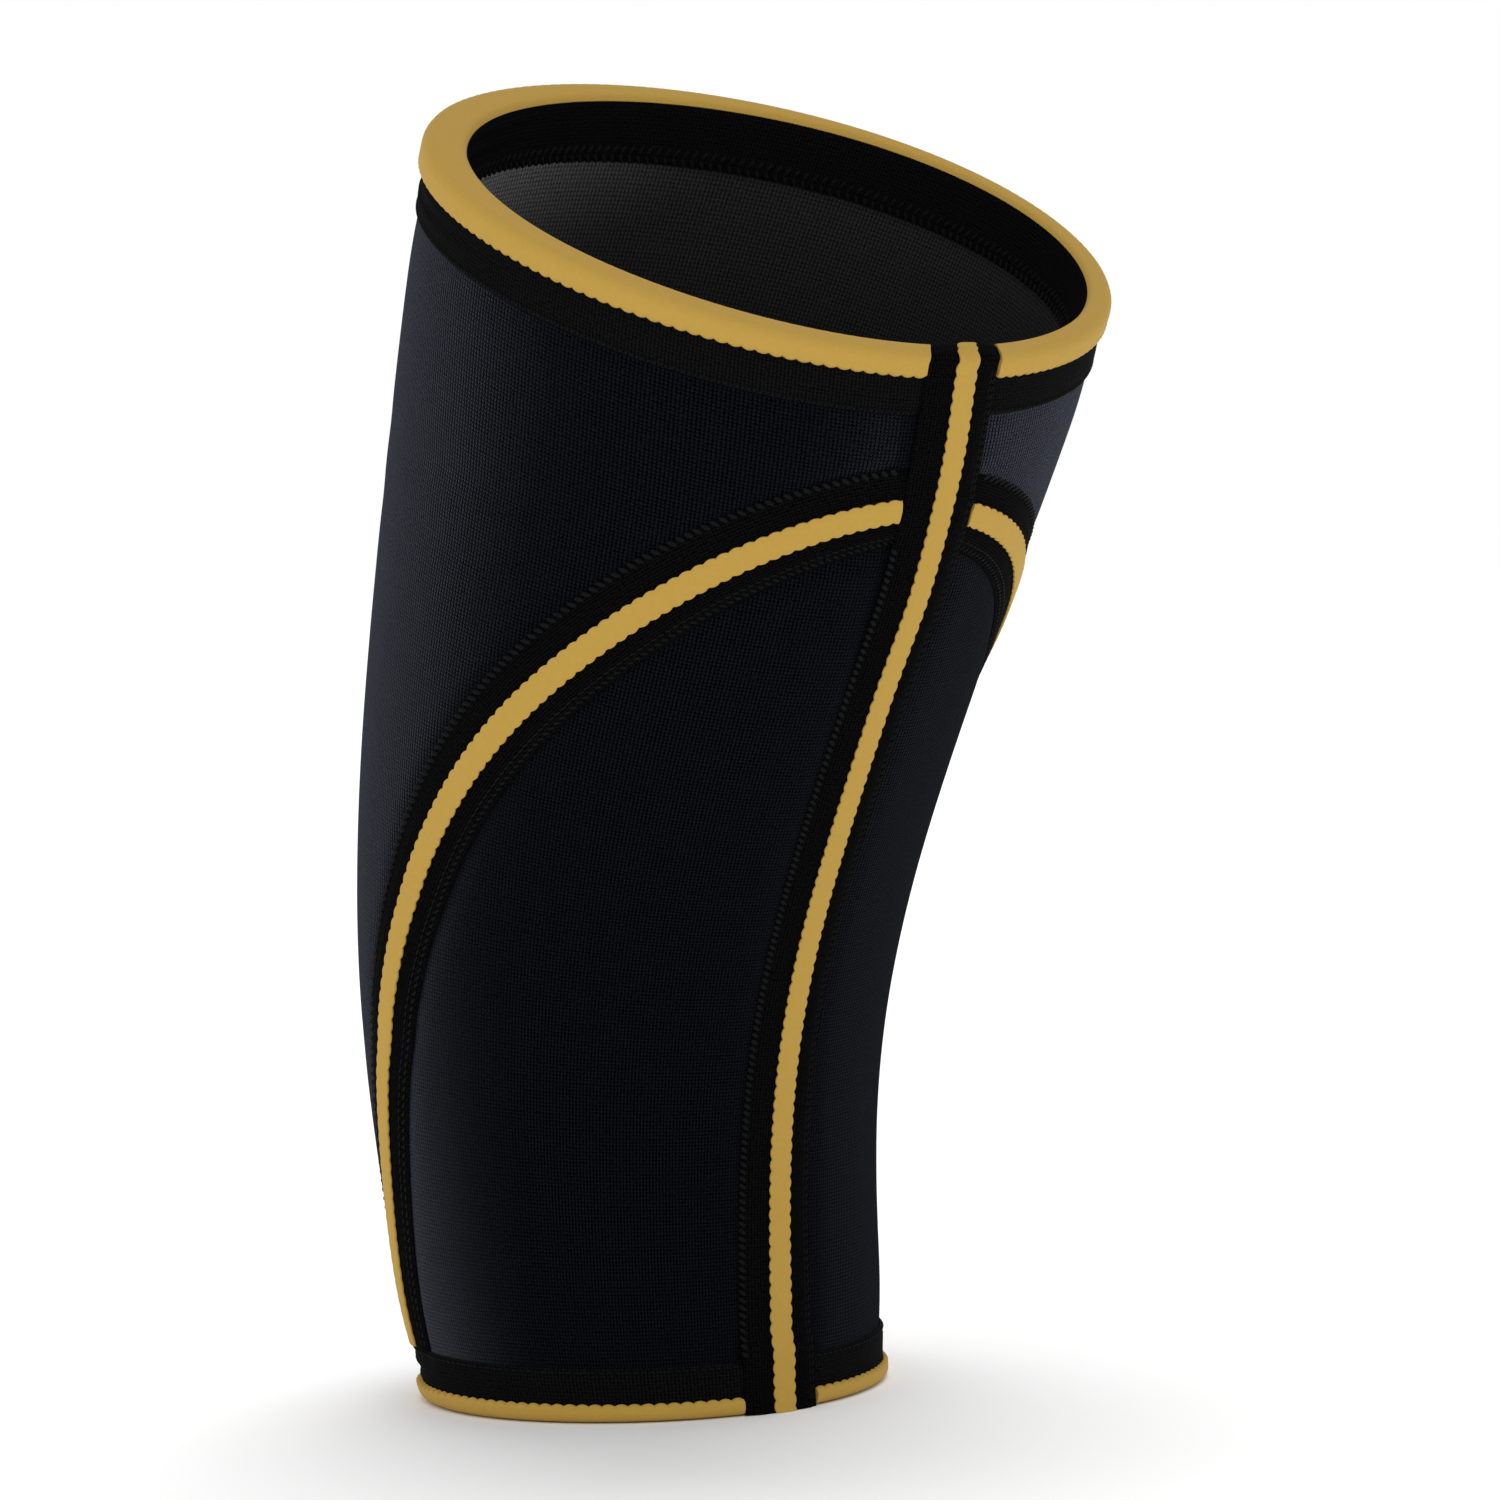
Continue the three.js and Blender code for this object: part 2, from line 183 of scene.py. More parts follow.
def on_wall(turn, share, out):
    """Points by their distance out from the foam's outer face, in mm. From 0 to
    minus the rim foam's thickness they stretch over the foam's own thickness."""
    turn, share, out = np.broadcast_arrays(np.asarray(turn, float), share, np.asarray(out, float))
    near_calf = np.exp(-(share * sleeve_length / draw_reach) ** 2)
    near_rim = near_calf + np.exp(-((1 - share) * sleeve_length / draw_reach) ** 2)
    calm = np.clip(relief_rise - relief_rise * near_rim, 0, 1)
    face = -rim_stack * near_rim + calm * soft_relief(turn, share)
    side = 1 + rim_thick_side * np.cos(turn - math.radians(rim_thick_turn_deg))
    depth = foam_thickness + (rim_foam_thickness * side - foam_thickness) * near_rim
    inner = -rim_stack * near_rim - depth
    within = face + (face - inner) * out / rim_foam_thickness
    beyond = inner + out + rim_foam_thickness
    place = np.where(out >= 0, face + out, np.where(out < -rim_foam_thickness, beyond, within))
    return on_leg(turn, share, place)


def flat_slab(columns, rows):
    """A flat slab, one unit each way, cut into columns and rows."""
    bm = bmesh.new()
    bmesh.ops.create_grid(bm, x_segments=columns, y_segments=rows, size=0.5)
    bmesh.ops.solidify(bm, geom=bm.faces[:], thickness=1)
    low = min(vert.co.z for vert in bm.verts)
    bmesh.ops.translate(bm, verts=bm.verts[:], vec=(0.5, 0.5, -low))
    return bm


def bent_piece(name, bm, place, cloths, slot):
    """Bends a flat piece round the leg. place turns its flat x, y and z into
    points, and into how far each lies across and along the cloth in mm."""
    flat = np.array([vert.co for vert in bm.verts])
    if len(cloths) > 1:
        for face in bm.faces:
            face.material_index = int(max(vert.co.z for vert in face.verts) < 0.5)
    points, knit = place(*flat.T)
    for vert, point in zip(bm.verts, points):
        vert.co = point
    bmesh.ops.recalc_face_normals(bm, faces=bm.faces[:])
    mesh = bpy.data.meshes.new(name)
    bm.to_mesh(mesh)
    bm.free()
    corners = np.empty(len(mesh.loops), int)
    mesh.loops.foreach_get("vertex_index", corners)
    mesh.uv_layers.new(name="knit").data.foreach_set("uv", np.stack(knit, -1)[corners].ravel())
    mesh.shade_smooth()
    mesh.set_sharp_from_angle(angle=math.radians(55))
    for cloth in cloths:
        mesh.materials.append(cloth)
    piece = bpy.data.objects.new(name, mesh)
    bpy.context.scene.collection.objects.link(piece)
    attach(piece, "root")
    return piece


def maths(tree, operation, *values):
    node = tree.nodes.new("ShaderNodeMath")
    node.operation = operation
    for socket, value in zip(node.inputs, values):
        if isinstance(value, bpy.types.NodeSocket):
            tree.links.new(value, socket)
        else:
            socket.default_value = value
    return node.outputs[0]


def noise(tree, where, scale, detail):
    node = tree.nodes.new("ShaderNodeTexNoise")
    node.inputs["Scale"].default_value = scale
    node.inputs["Detail"].default_value = detail
    tree.links.new(where, node.inputs["Vector"])
    return node.outputs["Fac"]


def start_group(name, values):
    """A node group that takes a place in the cloth in mm, two colours and some
    values. Returns it with what it is given and the place's parts."""
    group = bpy.data.node_groups.new(name, "ShaderNodeTree")
    sockets = [("Knit", "Vector"), ("Dark", "Color"), ("Light", "Color")]
    for label, kind in sockets + [(value, "Float") for value in values]:
        group.interface.new_socket(label, in_out="INPUT", socket_type="NodeSocket" + kind)
    for label, kind in (("Colour", "Color"), ("Roughness", "Float"), ("Height", "Float")):
        group.interface.new_socket(label, in_out="OUTPUT", socket_type="NodeSocket" + kind)
    given = group.nodes.new("NodeGroupInput").outputs
    parts = group.nodes.new("ShaderNodeSeparateXYZ")
    group.links.new(given["Knit"], parts.inputs[0])
    return group, given, parts.outputs


def end_group(group, given, tone, roughness, height):
    """Gives a colour between the dark and the light one, a roughness and a height."""
    mix = group.nodes.new("ShaderNodeMix")
    mix.data_type = "RGBA"
    group.links.new(tone, mix.inputs["Factor"])
    group.links.new(given["Dark"], mix.inputs["A"])
    group.links.new(given["Light"], mix.inputs["B"])
    made = group.nodes.new("NodeGroupOutput").inputs
    group.links.new(mix.outputs["Result"], made["Colour"])
    group.links.new(roughness, made["Roughness"])
    group.links.new(height, made["Height"])
    return group


def knit_group():
    """Knitted cloth: columns of small slanted loops, with a slow unevenness."""
    group, given, place = start_group("knitted cloth", ("Column", "Course", "Slant", "Uneven"))
    column = maths(group, "DIVIDE", place["X"], given["Column"])
    course = maths(group, "DIVIDE", place["Y"], given["Course"])
    across = maths(group, "PINGPONG", column, 0.5)
    leaning = maths(group, "MULTIPLY_ADD", across, given["Slant"], course)
    loop = maths(group, "PINGPONG", leaning, 0.5)
    ridge = maths(group, "SINE", maths(group, "MULTIPLY", across, math.pi))
    height = maths(group, "MULTIPLY", maths(group, "POWER", ridge, 0.6),
                   maths(group, "MULTIPLY_ADD", loop, 1.3, 0.35))
    slow = maths(group, "MULTIPLY_ADD", noise(group, given["Knit"], 0.16, 3), 0.5, -0.25)
    fine = maths(group, "MULTIPLY_ADD", noise(group, given["Knit"], 1.3, 2), 3, -1.5)
    uneven = maths(group, "MULTIPLY", maths(group, "ADD", slow, fine), given["Uneven"])
    # The colour follows the loops' height: a painted highlight on the raised loops and painted shade
    # between them, mixed with an unevenness that is the cloth's own tone.
    tone = maths(group, "MULTIPLY_ADD", height, 1.5, maths(group, "SUBTRACT", uneven, 0.3))
    roughness = maths(group, "MULTIPLY_ADD", height, -0.12, 0.92)
    return end_group(group, given, tone, roughness, maths(group, "MULTIPLY_ADD", fine, 0.25, height))


knitted_cloth = knit_group()


def cloth(name, group, values, sheen=0.0, sheen_tint=(1, 1, 1), relief=0.12, gloss=0.0):
    """A cloth material: a node group's colour, roughness and relief in mm."""
    material = bpy.data.materials.new(name)
    material.use_nodes = True
    tree = material.node_tree
    shader = tree.nodes["Principled BSDF"]
    shader.inputs["Specular IOR Level"].default_value = gloss
    shader.inputs["Sheen Weight"].default_value = sheen
    shader.inputs["Sheen Roughness"].default_value = 0.35
    shader.inputs["Sheen Tint"].default_value = (*sheen_tint, 1)
    made = tree.nodes.new("ShaderNodeGroup")
    made.node_tree = group
    for socket, value in values.items():
        made.inputs[socket].default_value = (*value, 1) if isinstance(value, tuple) else value
    where = tree.nodes.new("ShaderNodeUVMap")
    where.uv_map = "knit"
    bump = tree.nodes.new("ShaderNodeBump")
    bump.inputs["Strength"].default_value = 0.6
    bump.inputs["Distance"].default_value = relief / 1000
    tree.links.new(where.outputs["UV"], made.inputs["Knit"])
    tree.links.new(made.outputs["Height"], bump.inputs["Height"])
    tree.links.new(made.outputs["Colour"], shader.inputs["Base Color"])
    tree.links.new(made.outputs["Roughness"], shader.inputs["Roughness"])
    tree.links.new(bump.outputs["Normal"], shader.inputs["Normal"])
    return material


jersey = cloth(
    "navy black jersey", knitted_cloth,
    {"Dark": (0.0003, 0.0004, 0.0007), "Light": (0.0076, 0.008, 0.011), "Column": 0.95,
     "Course": 0.95, "Slant": 1.0, "Uneven": 0.4},
    sheen=0.05, sheen_tint=(0.8, 0.86, 1), relief=0.5)
lining = cloth(
    "ribbed lining", knitted_cloth,
    {"Dark": (0.009, 0.009, 0.0094), "Light": (0.035, 0.035, 0.036), "Column": 1.0,
     "Course": 1.0, "Slant": 1.0, "Uneven": 0.4})

foam_foot = rim_stack / sleeve_length
foam_top = 1 - foam_foot


def seam_edge(side, off, steps):
    """A panel's edge along the arch, just outside (1) or inside (-1) the seam."""
    turn, share = arch_curve(side, np.linspace(0, 1, steps + 1))
    wide = half_width(share)
    moved = side * turn + off * panel_gap / 2 / wide * (np.arange(steps + 1) > 0)
    share = np.maximum(share + off * panel_gap / 2 / sleeve_length, foam_foot)
    return side * np.maximum(moved, seam_slit / wide), share


def foam_panel(name, lower, upper, rows, node):
    bm = flat_slab(len(lower[0]) - 1, rows)
    columns = np.linspace(0, 1, len(lower[0]))

    def place(x, y, z):
        turn = np.interp(x, columns, lower[0]) * (1 - y) + np.interp(x, columns, upper[0]) * y
        share = np.interp(x, columns, lower[1]) * (1 - y) + np.interp(x, columns, upper[1]) * y
        points = on_wall(turn, share, (z - 1) * rim_foam_thickness)
        return points, (turn * middle_radius, share * sleeve_length)

    piece = bent_piece(name, bm, place, (jersey, lining), "jersey_foam")
    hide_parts(node)
    return piece


arch_steps, shin_steps = 64, 62
right_turn, right_share = seam_edge(1, 1, arch_steps)
left_turn, left_share = seam_edge(-1, 1, arch_steps)
left_turn = left_turn + 2 * math.pi
shin_turn = np.linspace(right_turn[-1], left_turn[-1], shin_steps + 1)[1:-1]
front_turn = np.concatenate([right_turn, shin_turn, left_turn[::-1]])
front_share = np.concatenate([right_share, np.full(len(shin_turn), foam_foot), left_share[::-1]])
front_top = front_turn.copy()
front_top[0] = seam_slit / half_width(foam_top)
front_top[-1] = 2 * math.pi - front_top[0]
foam_panel("foam_front_panel", (front_turn, front_share),
           (front_top, np.full(len(front_top), foam_top)), 120, "front_panel")

for side, hand in ((1, "right"), (-1, "left")):
    turn, share = seam_edge(side, -1, arch_steps)
    turn, share = turn[:-3], share[:-3]
    foot_turn = turn.copy()
    foot_turn[0] = side * seam_slit / half_width(foam_foot)
    foam_panel("foam_calf_panel_" + hand, (foot_turn, np.full(len(turn), foam_foot)),
               (turn, share), 100, "calf_panel_" + hand)


# Hem bindings
# A band of matt black stretch knit folded over each rim and sewn down both faces
# of the foam. Its lower edge outside has a fine chain stitch.

binding_legs = {"thigh": (17.0, 16.0), "calf": (14.0, 13.0)}
cloth_low, cloth_high = 0.12, 1.1
fold_length = 2.4
girth_share = 0.965
ridge_height, ridge_pitch, ridge_place, ridge_spread = 0.35, 0.62, 0.66, 0.09

tape_cloth = cloth(
    "black knitted tape", knitted_cloth,
    {"Dark": (0.0007, 0.0007, 0.0007), "Light": (0.0052, 0.0052, 0.0054), "Column": 0.8,
     "Course": 0.8, "Slant": 1.0, "Uneven": 0.7}, gloss=0.01, relief=0.25)
binding_cloth = cloth(
    "black binding knit", knitted_cloth,
    {"Dark": (0.0014, 0.0014, 0.0014), "Light": (0.0072, 0.0072, 0.0075), "Column": 0.9,
     "Course": 0.9, "Slant": 1.0, "Uneven": 0.6}, gloss=0.015, relief=0.25)


def round_rim(path, out):
    """A layer folded over a rim. path runs from 0 where the fold leaves the outer
    face. Returns the distance out from the foam and in from the rim."""
    outer = np.clip(path / fold_length, 0, 1) * math.pi / 2
    top = np.clip(path - fold_length, 0, rim_foam_thickness)
    rest = path - fold_length - rim_foam_thickness
    inner = np.clip(rest / fold_length, 0, 1) * math.pi / 2
    down = np.maximum(rest - fold_length, 0) + np.maximum(-path, 0)
    x = out * np.cos(outer) - top - out * np.sin(inner)
    return x, rim_stack - out * np.sin(outer) * np.cos(inner) + down


def rim_point(rim, turn, path, out):
    """Points of a layer on the thigh or calf rim."""
    x, y = round_rim(path, out)
    share = 1 - y / sleeve_length if rim == "thigh" else y / sleeve_length
    return on_wall(turn, share, x)


def rim_half_width(rim):
    return half_width(1 if rim == "thigh" else 0)


def rim_turn(rim, x, gap):
    """Turn of x, from 0 to 1 round a rim between two stops gap mm off the back seam."""
    start = gap / rim_half_width(rim)
    return start + (2 * math.pi - 2 * start) * x


def rim_length(rim):
    return 2 * math.pi * rim_half_width(rim) * girth_share


def sewn_down(distance, pitch_place):
    """Height of a cloth's top near a sewn edge, from how far in it lies: thin at
    the edge, with a groove along the stitches."""
    edge = np.sqrt(np.clip(distance / 0.7, 0.12, 1))
    groove = 0.3 + 0.08 * np.cos(pitch_place * 2 * math.pi)
    return edge - groove * np.exp(-((distance - 1.5) / 0.8) ** 2)


for rim, (outer_leg, inner_leg) in binding_legs.items():
    length = rim_length(rim)
    total = outer_leg + inner_leg - 2 * rim_stack + 2 * fold_length + rim_foam_thickness

    def place(x, y, z):
        path = y * total + rim_stack - outer_leg
        edge = np.minimum(y, 1 - y) * total
        ridges = ridge_height * np.sin(y * total / ridge_pitch + 1.5 * np.sin(x * 30))
        ridges = ridges * np.exp(-((x - ridge_place) / ridge_spread) ** 2)
        ridges = ridges * np.clip(edge / 2 - 1, 0, 1)
        high = sewn_down(edge, x * length / 2.2) * cloth_high + ridges
        out = cloth_low + (np.maximum(high, 0.35) - cloth_low) * z
        turn = rim_turn(rim, x, seam_slit)
        return rim_point(rim, turn, path, out), (x * length, y * total)

    bm = flat_slab(round(length / 1.4), round(total / 0.9))
    piece = bent_piece(rim + "_hem_binding", bm, place, (binding_cloth,), "black_tape")
    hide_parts(rim + "_binding")


# Arch tapes and stripes
# A black knitted tape sewn over the arch seam from the back seam to the calf hem,
# with a narrower gold braid along its middle, scalloped along both edges.

arch_tape_width, arch_stripe_width = 21.5, 6.8
back_tape_width, back_stripe_width = 21.5, 6.5
stripe_low, stripe_high = 1.25, 1.95
scallop_pitch, scallop_depth, scallop_steps = 3.35, 0.55, 8
scallop_shift = 0.6 * scallop_pitch
piece_gap = 0.3
beside_tape = back_tape_width / 2 + piece_gap
arch_foot_share = (binding_legs["calf"][0] + piece_gap) / sleeve_length


def thread_group():
    """Gold thread lying side by side."""
    group, given, place = start_group("gold thread", ())
    wander = noise(group, given["Knit"], 0.7, 3)
    straight = maths(group, "MULTIPLY_ADD", wander, 0.5, place["X"])
    slanted = maths(group, "MULTIPLY_ADD", place["Y"], 0.25, straight)
    thread = maths(group, "PINGPONG", maths(group, "DIVIDE", slanted, 0.42), 0.5)
    # The colour follows each thread's height: a painted highlight along its raised middle, mixed
    # with a wandering tone of the thread's own.
    tone = maths(group, "MULTIPLY_ADD", thread, 0.7, maths(group, "MULTIPLY", wander, 0.6))
    return end_group(group, given, tone, maths(group, "MULTIPLY_ADD", thread, -0.2, 0.75), thread)


gold_thread = cloth(
    "matt gold thread", thread_group(),
    {"Dark": (0.445, 0.275, 0.052), "Light": (0.52, 0.327, 0.068)}, gloss=0.1, relief=0.05)


def scallop(along):
    """How far a scalloped edge stands in at its notches, in mm."""
    return scallop_depth * (2 * ((along / scallop_pitch) % 1) - 1) ** 2


arch_parts = np.linspace(0, 0.97, 1500)
arch_look = 0.004
arch_length = {}
for side in (1, -1):
    turn, share = arch_curve(side, arch_parts)
    wide = half_width(share)
    steps = np.hypot(np.diff(turn) * wide[1:], np.diff(share) * sleeve_length)
    arch_length[side] = np.append(0, np.cumsum(steps))


def arch_end(side):
    """Length along the arch where a strip meets the calf hem."""
    share = arch_curve(side, arch_parts)[1]
    return float(np.interp(-arch_foot_share, -share, arch_length[side]))


def arch_place(side, along, across, out, gap):
    """Points along an arch strip: mm along from the back seam, mm across outwards
    from the seam line, mm out from the foam, ending gap mm off the back seam."""
    part = np.interp(along, arch_length[side], arch_parts)
    turn, share = arch_curve(side, part)
    ahead, behind = arch_curve(side, part + arch_look), arch_curve(side, part - arch_look)
    wide = half_width(share)
    run_turn, run_up = (ahead[0] - behind[0]) * wide, (ahead[1] - behind[1]) * sleeve_length
    size = np.hypot(run_turn, run_up)
    turn = turn - side * across * run_up / size / wide
    share = share + side * across * run_turn / size / sleeve_length
    kept = side * np.maximum(side * turn, gap / half_width(share))
    return on_wall(kept, np.maximum(share, arch_foot_share), out)


def tape_top(across, along, half):
    """Height of a tape's top: flat under the stripe, puffed beside it, and held
    down by the stitches along its edges."""
    puff = 0.16 * np.exp(-((np.abs(across) - 6.4) / 1.5) ** 2)
    return cloth_high * sewn_down(half - np.abs(across), along / 2.2) + puff


def tape_section(half):
    def section(across_share, along, z):
        across = (2 * across_share - 1) * half
        high = np.maximum(tape_top(across, along, half), 0.3)
        return across, cloth_low + (high - cloth_low) * z
    return section


def stripe_section(half):
    def section(across_share, along, z):
        x = 2 * across_share - 1
        across = x * (half - scallop(along + (x > 0) * scallop_shift))
        high = stripe_high - 0.35 * x ** 6
        return across, stripe_low + (high - stripe_low) * z
    return section


arch_strips = {
    "tape": (tape_section(arch_tape_width / 2), seam_slit, 14, 0.9, (tape_cloth,), "black_tape"),
    "stripe": (stripe_section(arch_stripe_width / 2), beside_tape, 8,
               scallop_pitch / scallop_steps, (gold_thread,), "gold_thread"),
}
for side, hand in ((1, "right"), (-1, "left")):
    for kind, (section, gap, columns, step, cloths, slot) in arch_strips.items():
        first = gap if gap > 1 else 0
        last = arch_end(side)

        def place(x, y, z):
            along = first + (last - first) * y
            across, out = section(x, along, z)
            return arch_place(side, along, across, out, gap), (across, along)

        bm = flat_slab(columns, round((last - first) / step))
        piece = bent_piece("arch_%s_cloth_%s" % (kind, hand), bm, place, cloths, slot)
        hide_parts("arch_%s_%s" % (kind, hand))


# Edge trims
# A gold braid round each rim, over the binding: it covers the rim's top and the
# upper part of its outer face, and ends in a scalloped edge beside the back tape.

trim_legs = {"thigh": 6.8, "calf": 5.0}
trim_low, trim_high = 1.25, 2.35
fuller_share, fuller_turn_deg, fuller_spread = 0.3, 232.0, 0.55
slant_slope, slant_reach, slant_spread = 0.65, 8.0, 0.4


def fold_slant(path):
    """How far the back tape drifts sideways as it folds over the thigh rim, in mm."""
    return slant_slope * np.clip(path, 0, slant_reach)


for rim, leg in trim_legs.items():
    length = rim_length(rim)
    scallops = round(length / scallop_pitch)
    end = fold_length * 1.6 + rim_foam_thickness

    def place(x, y, z):
        notch = scallop(x * scallops * scallop_pitch)
        start = rim_stack - leg + notch
        path = start + (end - start) * y
        edge = np.clip(np.minimum(y * (end - start) / 0.6, (1 - y) * (end - start) / 1.2), 0.1, 1)
        out = trim_low + (trim_high - trim_low) * np.sqrt(edge) * z
        turn = rim_turn(rim, x, beside_tape)
        from_fuller = from_back(turn - math.radians(fuller_turn_deg))
        fuller = fuller_share * z * np.exp(-(from_fuller / fuller_spread) ** 2)
        if rim == "calf":
            fuller = fuller * np.clip(1 - path / fold_length, 0, 1)
        out = out * (1 + fuller)
        if rim == "thigh":
            beside = np.exp(-(from_back(turn) / slant_spread) ** 2)
            turn = turn + beside * fold_slant(path) / half_width(1)
        return rim_point(rim, turn, path, out), (path, x * length)

    bm = flat_slab(scallops * scallop_steps, 16 if rim == "thigh" else 14)
    piece = bent_piece(rim + "_gold_trim", bm, place, (gold_thread,), "gold_thread")
    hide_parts(rim + "_edge_trim")


# Back seam tape and stripe
# The same tape and gold braid up the back seam. It lies over the calf hem, the
# arch tapes and the thigh hem, and folds over the thigh rim to its inner edge.

layer_lift = 1.3
calf_climb = (15.0, 22.5)
arch_climb = (203.0, 238.0)


def smooth_step(value, start, end):
    t = np.clip((value - start) / (end - start), 0, 1)
    return t * t * (3 - 2 * t)


def back_place(along, across, out):
    """Points on the back seam: mm up from the floor and over the thigh rim."""
    over_calf = 1 - smooth_step(along, *calf_climb)
    over_arch = smooth_step(along, *arch_climb)
    lift = layer_lift * np.maximum(over_calf, over_arch)
    path = along - (sleeve_length - rim_stack)
    x, y = round_rim(path, out + lift)
    share = 1 - y / sleeve_length
    return on_wall((across + fold_slant(path)) / half_width(share), share, x)


back_end = sleeve_length - rim_stack + fold_length * 1.7 + rim_foam_thickness
stripe_short = 1.8
for kind, section, end, columns, step, cloths, slot in (
        ("tape", tape_section(back_tape_width / 2), back_end, 14, 0.9, (tape_cloth,), "black_tape"),
        ("stripe", stripe_section(back_stripe_width / 2), back_end - stripe_short, 8,
         scallop_pitch / scallop_steps, (gold_thread,), "gold_thread")):

    def place(x, y, z):
        along = end * y
        across, out = section(x, along, z)
        return back_place(along, across, out), (across, along)

    bm = flat_slab(columns, round(end / step))
    piece = bent_piece("back_%s_cloth" % kind, bm, place, cloths, slot)
    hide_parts("back_seam_" + kind)


# Stitch rows
# Black overlock loops and chain stitches that hold the tapes and hems down, each
# row a line of small slanted beads of thread lying in the cloth.

stitch_thread = cloth(
    "black stitching thread", knitted_cloth,
    {"Dark": (0.0018, 0.0018, 0.0018), "Light": (0.006, 0.006, 0.0062), "Column": 0.3,
     "Course": 0.3, "Slant": 1.0, "Uneven": 0.3}, gloss=0.12, relief=0.05)


def stitch_row(name, start, end, pitch, across, height, size, slant, place):
    """Beads of thread in a row: size is each one's length, width and height, and
    slant its turn away from straight across the row."""
    bm = bmesh.new()
    shape = Matrix.Rotation(math.radians(slant), 4, "Z") @ Matrix.Diagonal((*size, 1))
    bmesh.ops.create_uvsphere(bm, u_segments=8, v_segments=5, radius=0.5, matrix=shape)
    bmesh.ops.translate(bm, verts=bm.verts[:], vec=(across, start + pitch / 2, height))
    bmesh.ops.spin(bm, geom=bm.verts[:] + bm.edges[:] + bm.faces[:], angle=0, axis=(0, 0, 1),
                   dvec=(0, pitch, 0), steps=max(1, int((end - start) / pitch) - 1),
                   use_duplicate=True)
    return bent_piece(name, bm, lambda x, y, z: (place(x, y, z), (x, y)), (stitch_thread,),
                      "black_tape")


for side, hand in ((1, "right"), (-1, "left")):
    last = arch_end(side) - 1

    def place(across, along, out):
        return arch_place(side, along, across, out, seam_slit)

    for row, across, height, size, slant in (
            ("loops", 10.5, 0.66, (2.6, 1.25, 0.8), 35), ("edge", -9.2, 0.85, (2.0, 0.75, 0.5), 60),
            ("inner", -7.6, 1.12, (2.0, 0.55, 0.3), 75)):
        stitch_row("arch_%s_stitches_%s" % (row, hand), 11.5, last, 2.2, across, height, size,
                   slant, place)


def on_back(across, along, out):
    return back_place(along, across, out)


for row, across, height, size, slant, span, pitch in (
        ("loops", -10.4, 0.66, (2.6, 1.2, 0.8), -35, (15, 247), 2.0),
        ("edge", 9.7, 0.76, (1.9, 0.6, 0.45), 70, (2, 296), 2.1),
        ("inner", 8.5, 0.94, (1.9, 0.5, 0.35), 75, (2, 296), 2.1)):
    stitch_row("back_%s_stitches" % row, *span, pitch, across, height, size, slant, on_back)

for rim, row, path, height, size, slant, pitch in (
        ("thigh", "hem", -13.6, 0.92, (1.0, 0.5, 0.4), 80, 1.4),
        ("thigh", "inner_upper", 19.4, 1.0, (2.6, 1.1, 0.8), 30, 2.6),
        ("thigh", "inner_lower", 21.6, 0.8, (2.6, 1.1, 0.8), -30, 2.6),
        ("calf", "hem", -10.4, 0.95, (1.4, 0.5, 0.4), 80, 2.0),
        ("calf", "inner", 18.2, 0.8, (1.9, 0.5, 0.45), 30, 2.4)):
    length = rim_length(rim)

    def place(across, along, out):
        return rim_point(rim, rim_turn(rim, along / length, seam_slit), path + across, out)

    beside = beside_tape if row == "hem" else 2
    stitch_row("%s_%s_stitches" % (rim, row), beside, length - beside, pitch, 0, height, size,
               slant, place)


# Studio
# A white floor and a white surround, a little brighter on the picture's left, with
# soft lights: one in front, one at each side for the jersey's sheen, one for the floor.

photo_turn_deg, photo_rise_deg, photo_roll_deg = 143.62, 2.35, -2.48
camera_distance, target_height = 1.214556, 0.15
picture_size, sensor_width, focal_length = 1500, 36, 4912.843
target_across, target_down = 634.884, 781.748
turn, rise, roll = map(math.radians, (photo_turn_deg, photo_rise_deg, photo_roll_deg))
back = Vector((math.sin(turn) * math.cos(rise), -math.cos(turn) * math.cos(rise),
               math.sin(rise)))
level = Vector((0, 0, 1)).cross(back).normalized()
upward = back.cross(level)
right = level * math.cos(roll) + upward * math.sin(roll)
above = upward * math.cos(roll) - level * math.sin(roll)
camera = bpy.data.objects.new("camera", bpy.data.cameras.new("camera"))
bpy.context.scene.collection.objects.link(camera)
target = Vector((standing_shift[0] / 1000, standing_shift[1] / 1000, target_height))
camera.matrix_world = Matrix.Translation(target + back * camera_distance) @ Matrix(
    (right, above, back)).transposed().to_4x4()
camera.data.sensor_width = sensor_width
camera.data.lens = sensor_width * focal_length / picture_size
camera.data.shift_x = (picture_size / 2 - target_across) / picture_size
camera.data.shift_y = (target_down - picture_size / 2) / picture_size
bpy.context.scene.camera = camera

floor_mesh = bpy.data.meshes.new("studio_floor")
bm = bmesh.new()
bmesh.ops.create_grid(bm, x_segments=1, y_segments=1, size=20)
bm.to_mesh(floor_mesh)
bm.free()
floor = bpy.data.objects.new("studio_floor", floor_mesh)
bpy.context.scene.collection.objects.link(floor)
floor_paint = bpy.data.materials.new("white floor")
floor_paint.use_nodes = True
paint = floor_paint.node_tree.nodes["Principled BSDF"].inputs
paint["Base Color"].default_value = (0.96, 0.96, 0.96, 1)
paint["Roughness"].default_value = 1
paint["Specular IOR Level"].default_value = 0
floor_mesh.materials.append(floor_paint)

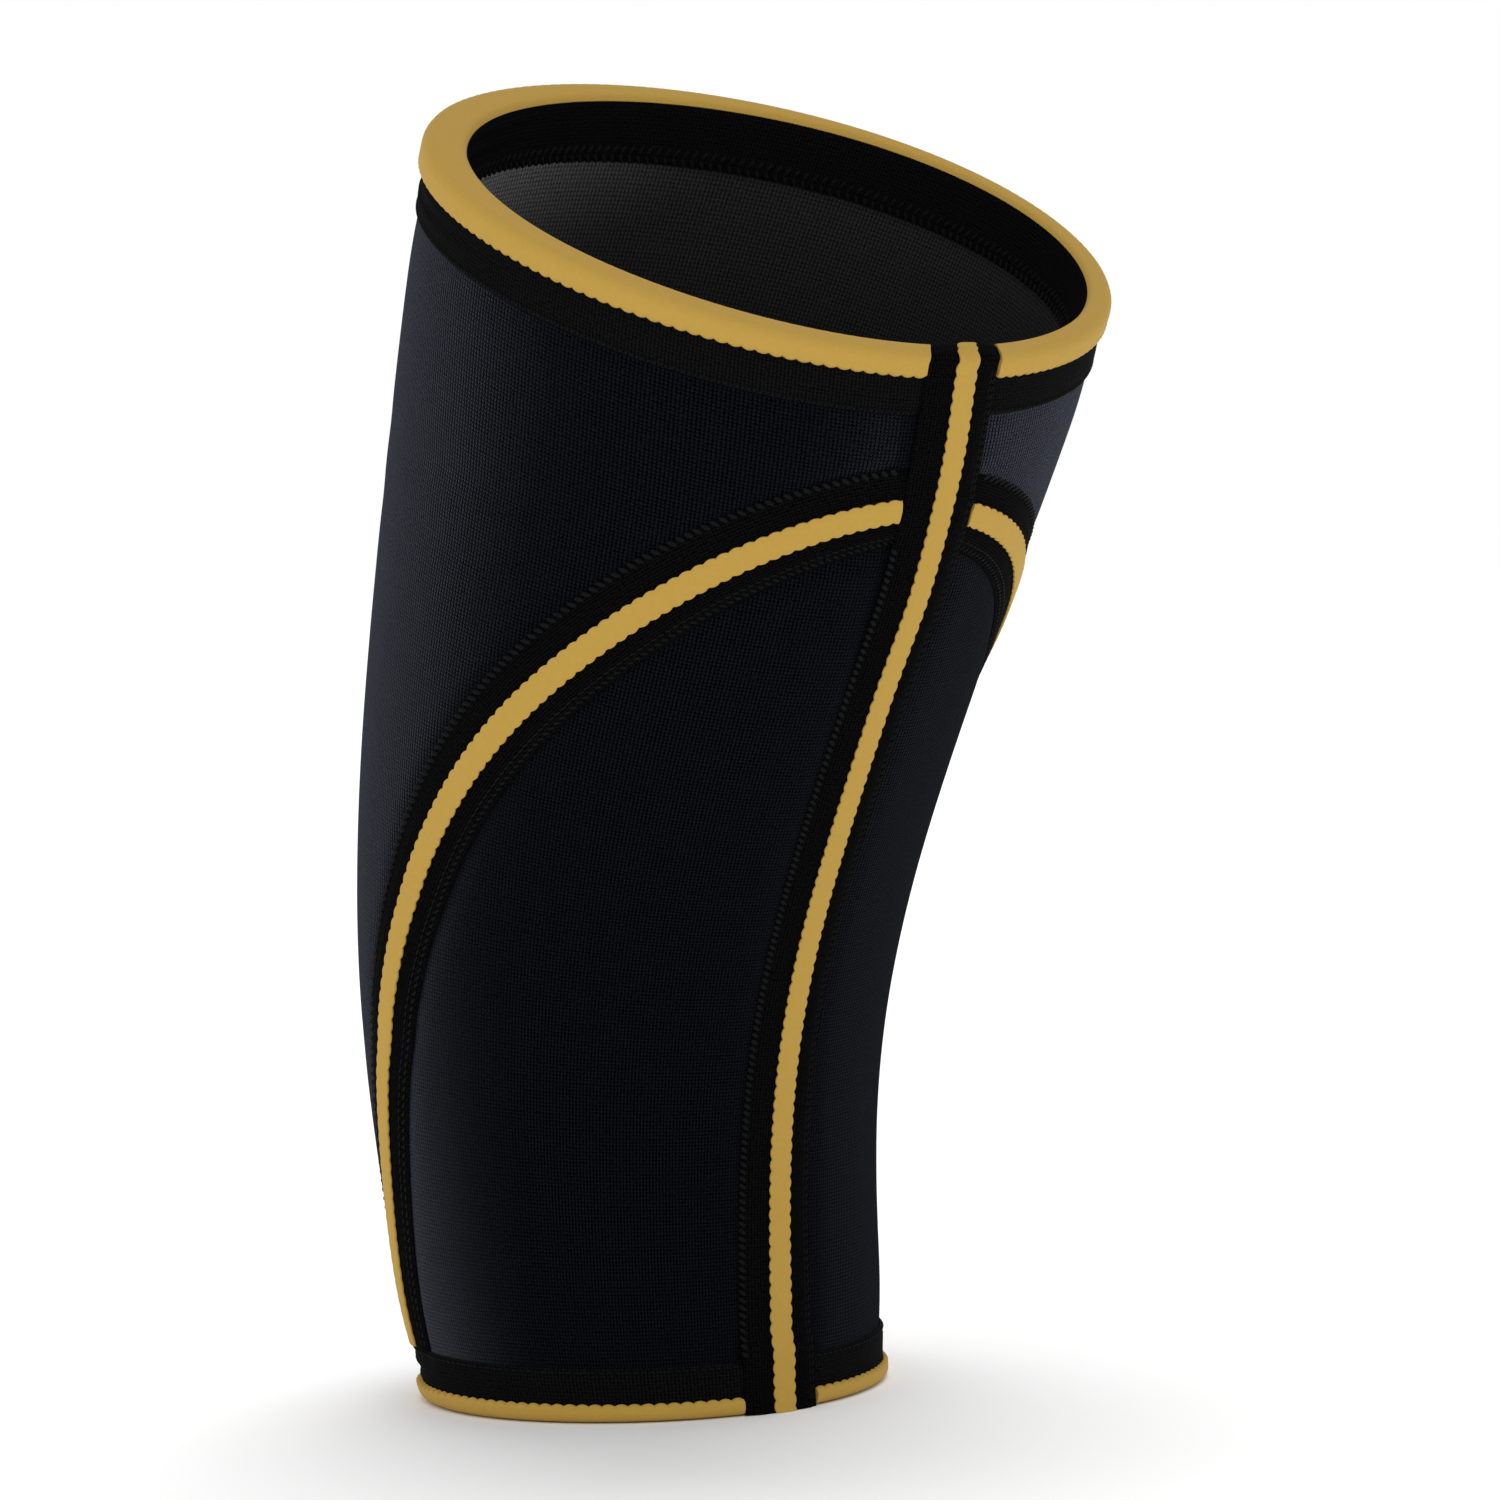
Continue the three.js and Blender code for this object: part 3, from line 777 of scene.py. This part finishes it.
world = bpy.data.worlds.new("white surround")
world.use_nodes = True
sky = world.node_tree
where = sky.nodes.new("ShaderNodeTexCoord")
sideways = sky.nodes.new("ShaderNodeVectorMath")
sideways.operation = "DOT_PRODUCT"
sideways.inputs[1].default_value = -right
sky.links.new(where.outputs["Generated"], sideways.inputs[0])
surround_slope, surround_light = 0.08, 0.85
dimmed = maths(sky, "MULTIPLY_ADD", sideways.outputs["Value"], surround_slope, surround_light)
seen = sky.nodes.new("ShaderNodeLightPath").outputs["Is Camera Ray"]
sky.nodes["Background"].inputs["Color"].default_value = (1, 1, 1, 1)
sky.links.new(maths(sky, "MAXIMUM", dimmed, seen), sky.nodes["Background"].inputs["Strength"])
bpy.context.scene.world = world


light_distance = 1.5


def soft_light(name, kind, direction, size, power):
    """A light that shines on the sleeve from a direction and isn't seen itself."""
    light = bpy.data.objects.new(name, bpy.data.lights.new(name, kind))
    light.data.energy = power
    light.location = target + direction.normalized() * light_distance
    light.rotation_euler = direction.to_track_quat("Z", "Y").to_euler()
    if kind == "SUN":
        light.data.angle = size
    else:
        light.data.shape = "DISK"
        light.data.size = size
    light.visible_camera = False
    bpy.context.scene.collection.objects.link(light)
    return light


def shines_on(light, name, *pieces):
    """Keeps a light to some of the pieces."""
    lit = bpy.data.collections.new(name)
    for piece in pieces:
        lit.objects.link(piece)
    light.light_linking.receiver_collection = lit


panels = [piece for piece in bpy.data.objects if piece.name.startswith("foam_")]
front_light = soft_light("front_light", "AREA", back + above * 0.2 + right * 0.15, 1.0, 0.9)
shines_on(front_light, "sleeve", *(piece for piece in bpy.data.objects if piece.type == "MESH"
                                  and piece is not floor))
left_sheen = soft_light("left_sheen_light", "AREA", -right - back * 0.7 + above * 0.1, 0.9, 180)
shines_on(left_sheen, "left sheen", *panels)
right_sheen = soft_light("right_sheen_light", "AREA", right - back * 0.25 + above * 0.05, 0.2, 0.85)
right_sheen.data.spread = math.radians(45)
right_sheen.location = target + right * 0.36 + above * 0.11 - back * 0.02
shines_on(right_sheen, "right sheen", bpy.data.objects["foam_front_panel"])
floor_light = soft_light("floor_light", "SUN", Vector((0, 0, 1)) - back * 0.35 + right * 0.1,
                         math.radians(42), 1.3)
shines_on(floor_light, "lit floor", floor)

bpy.context.scene.view_settings.view_transform = "Standard"
bpy.context.scene.view_settings.look = "None"
